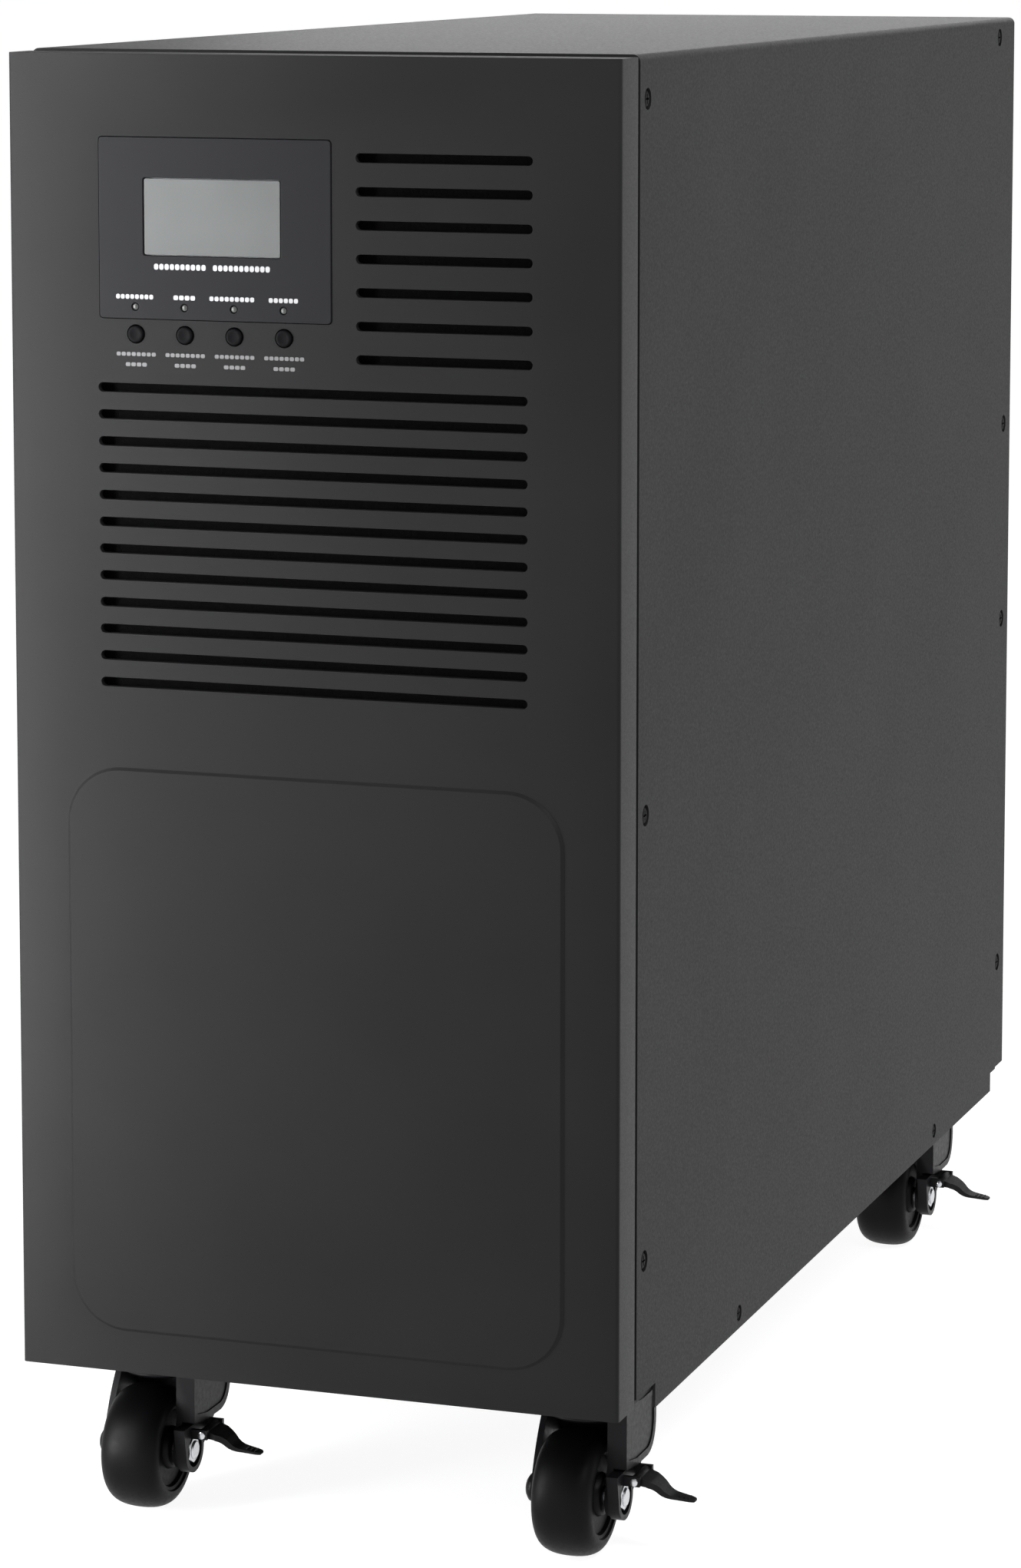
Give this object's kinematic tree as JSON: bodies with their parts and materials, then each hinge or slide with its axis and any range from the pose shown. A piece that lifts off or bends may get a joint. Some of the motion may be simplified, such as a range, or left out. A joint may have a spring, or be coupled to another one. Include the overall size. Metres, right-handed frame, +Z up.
{
  "type": "uninterruptible power supply",
  "caption": "Tower uninterruptible power supply: charcoal steel case, louvred plastic front with LCD and buttons, rear fans and connectors, on braked swivel casters.",
  "frame": {"origin": "on the floor under the middle of the whole outline, 7.5 mm right of the case's own middle because the brake pedals reach past its right side", "axes": "+Z up; the front panel faces -Y; the width runs along X and the depth along Y"},
  "size_m": [0.265, 0.625, 0.593],
  "materials": {
    "bezel_plastic": "fine spark-textured charcoal ABS",
    "display_overlay": "satin printed polycarbonate overlay, slate grey",
    "lcd_glass": "unlit grey LCD behind a clear lens",
    "lcd_body": "white moulded module frame",
    "clear_plastic": "clear moulded light pipe",
    "circuit_board": "green solder mask on glass fibre",
    "button_plastic": "satin black moulded plastic",
    "painted_steel": "charcoal powder coat with a fine texture",
    "galvanised_steel": "zinc-plated sheet steel",
    "green_plastic": "green moulded terminal block",
    "black_plastic": "black glass-filled nylon",
    "fan_plastic": "black moulded fan plastic",
    "zinc_wire": "bright nickel-plated wire",
    "battery_case": "dark grey ABS battery case",
    "aluminium": "plain extruded aluminium",
    "copper": "lacquered copper winding",
    "caster_steel": "black electro-coated pressed steel",
    "caster_tread": "black nylon wheel with a soft satin tread",
    "caster_zinc": "bright zinc-plated bolt",
    "pedal_plastic": "black moulded brake lever"
  },
  "bodies": {
    "root": {"front_bezel": "bezel_plastic", "display_frame": "display_overlay", "lcd_window": "lcd_glass", "lcd_module": "lcd_body", "light_pipe": "clear_plastic", "control_board": "circuit_board", "power_board": "circuit_board", "case_cover": "painted_steel", "base_tray": "painted_steel", "rear_panel": "painted_steel", "slot_cover": "painted_steel", "terminal_cover": "painted_steel", "front_bulkhead": "galvanised_steel", "mid_shelf": "galvanised_steel", "battery_tray": "galvanised_steel", "serial_port": "galvanised_steel", "usb_port": "galvanised_steel", "shutdown_terminal": "green_plastic", "battery_connector": "black_plastic", "breaker_body": "black_plastic", "terminal_block": "black_plastic", "fan_housing_left": "fan_plastic", "fan_housing_right": "fan_plastic", "fan_guard_left": "zinc_wire", "fan_guard_right": "zinc_wire", "battery_1": "battery_case", "battery_2": "battery_case", "battery_3": "battery_case", "battery_4": "battery_case", "capacitor_1": "battery_case", "capacitor_2": "battery_case", "heat_sink": "aluminium", "inductor": "copper", "caster_plate_front_left": "caster_steel", "caster_plate_front_right": "caster_steel", "caster_plate_rear_left": "caster_steel", "caster_plate_rear_right": "caster_steel"},
    "button_1": {"button_1": "button_plastic"},
    "button_2": {"button_2": "button_plastic"},
    "button_3": {"button_3": "button_plastic"},
    "button_4": {"button_4": "button_plastic"},
    "breaker_toggle": {"breaker_toggle": "button_plastic"},
    "fan_rotor_left": {"fan_rotor_left": "fan_plastic"},
    "fan_rotor_right": {"fan_rotor_right": "fan_plastic"},
    "caster_front_left": {"caster_fork_front_left": "caster_steel", "caster_axle_front_left": "caster_zinc"},
    "wheel_front_left": {"caster_wheel_front_left": "caster_tread"},
    "pedal_front_left": {"brake_pedal_front_left": "pedal_plastic"},
    "caster_front_right": {"caster_fork_front_right": "caster_steel", "caster_axle_front_right": "caster_zinc"},
    "wheel_front_right": {"caster_wheel_front_right": "caster_tread"},
    "pedal_front_right": {"brake_pedal_front_right": "pedal_plastic"},
    "caster_rear_left": {"caster_fork_rear_left": "caster_steel", "caster_axle_rear_left": "caster_zinc"},
    "wheel_rear_left": {"caster_wheel_rear_left": "caster_tread"},
    "pedal_rear_left": {"brake_pedal_rear_left": "pedal_plastic"},
    "caster_rear_right": {"caster_fork_rear_right": "caster_steel", "caster_axle_rear_right": "caster_zinc"},
    "wheel_rear_right": {"caster_wheel_rear_right": "caster_tread"},
    "pedal_rear_right": {"brake_pedal_rear_right": "pedal_plastic"}
  },
  "joints": [
    {"name": "button_1_press", "type": "slide", "parent": "root", "child": "button_1", "axis": [0, 1, 0], "range_m": [0, 0.001], "stiffness_N_per_m": 300},
    {"name": "button_2_press", "type": "slide", "parent": "root", "child": "button_2", "axis": [0, 1, 0], "range_m": [0, 0.001], "stiffness_N_per_m": 300},
    {"name": "button_3_press", "type": "slide", "parent": "root", "child": "button_3", "axis": [0, 1, 0], "range_m": [0, 0.001], "stiffness_N_per_m": 300},
    {"name": "button_4_press", "type": "slide", "parent": "root", "child": "button_4", "axis": [0, 1, 0], "range_m": [0, 0.001], "stiffness_N_per_m": 300},
    {"name": "breaker_switch", "type": "hinge", "parent": "root", "child": "breaker_toggle", "pos_m": [0.0525, 0.299, 0.335], "axis": [1, 0, 0], "range_deg": [-50, 0]},
    {"name": "fan_left_spin", "type": "hinge", "parent": "root", "child": "fan_rotor_left", "pos_m": [-0.0615, 0.29, 0.445], "axis": [0, 1, 0], "continuous": true},
    {"name": "fan_right_spin", "type": "hinge", "parent": "root", "child": "fan_rotor_right", "pos_m": [0.0465, 0.29, 0.445], "axis": [0, 1, 0], "continuous": true},
    {"name": "caster_front_left_swivel", "type": "hinge", "parent": "root", "child": "caster_front_left", "pos_m": [-0.0995, -0.246, 0.065], "axis": [0, 0, 1], "continuous": true},
    {"name": "wheel_front_left_roll", "type": "hinge", "parent": "caster_front_left", "child": "wheel_front_left", "pos_m": [-0.0995, -0.263, 0.025], "axis": [1, 0, 0], "continuous": true},
    {"name": "pedal_front_left_press", "type": "hinge", "parent": "caster_front_left", "child": "pedal_front_left", "pos_m": [-0.0745, -0.2575, 0.0324], "axis": [0, 1, 0], "range_deg": [0, 15]},
    {"name": "caster_front_right_swivel", "type": "hinge", "parent": "root", "child": "caster_front_right", "pos_m": [0.0845, -0.246, 0.065], "axis": [0, 0, 1], "continuous": true},
    {"name": "wheel_front_right_roll", "type": "hinge", "parent": "caster_front_right", "child": "wheel_front_right", "pos_m": [0.0845, -0.263, 0.025], "axis": [1, 0, 0], "continuous": true},
    {"name": "pedal_front_right_press", "type": "hinge", "parent": "caster_front_right", "child": "pedal_front_right", "pos_m": [0.1095, -0.2575, 0.0324], "axis": [0, 1, 0], "range_deg": [0, 15]},
    {"name": "caster_rear_left_swivel", "type": "hinge", "parent": "root", "child": "caster_rear_left", "pos_m": [-0.0995, 0.239, 0.065], "axis": [0, 0, 1], "continuous": true},
    {"name": "wheel_rear_left_roll", "type": "hinge", "parent": "caster_rear_left", "child": "wheel_rear_left", "pos_m": [-0.0995, 0.222, 0.025], "axis": [1, 0, 0], "continuous": true},
    {"name": "pedal_rear_left_press", "type": "hinge", "parent": "caster_rear_left", "child": "pedal_rear_left", "pos_m": [-0.0745, 0.2275, 0.0324], "axis": [0, 1, 0], "range_deg": [0, 15]},
    {"name": "caster_rear_right_swivel", "type": "hinge", "parent": "root", "child": "caster_rear_right", "pos_m": [0.0845, 0.239, 0.065], "axis": [0, 0, 1], "continuous": true},
    {"name": "wheel_rear_right_roll", "type": "hinge", "parent": "caster_rear_right", "child": "wheel_rear_right", "pos_m": [0.0845, 0.222, 0.025], "axis": [1, 0, 0], "continuous": true},
    {"name": "pedal_rear_right_press", "type": "hinge", "parent": "caster_rear_right", "child": "pedal_rear_right", "pos_m": [0.1095, 0.2275, 0.0324], "axis": [0, 1, 0], "range_deg": [0, 15]}
  ]
}
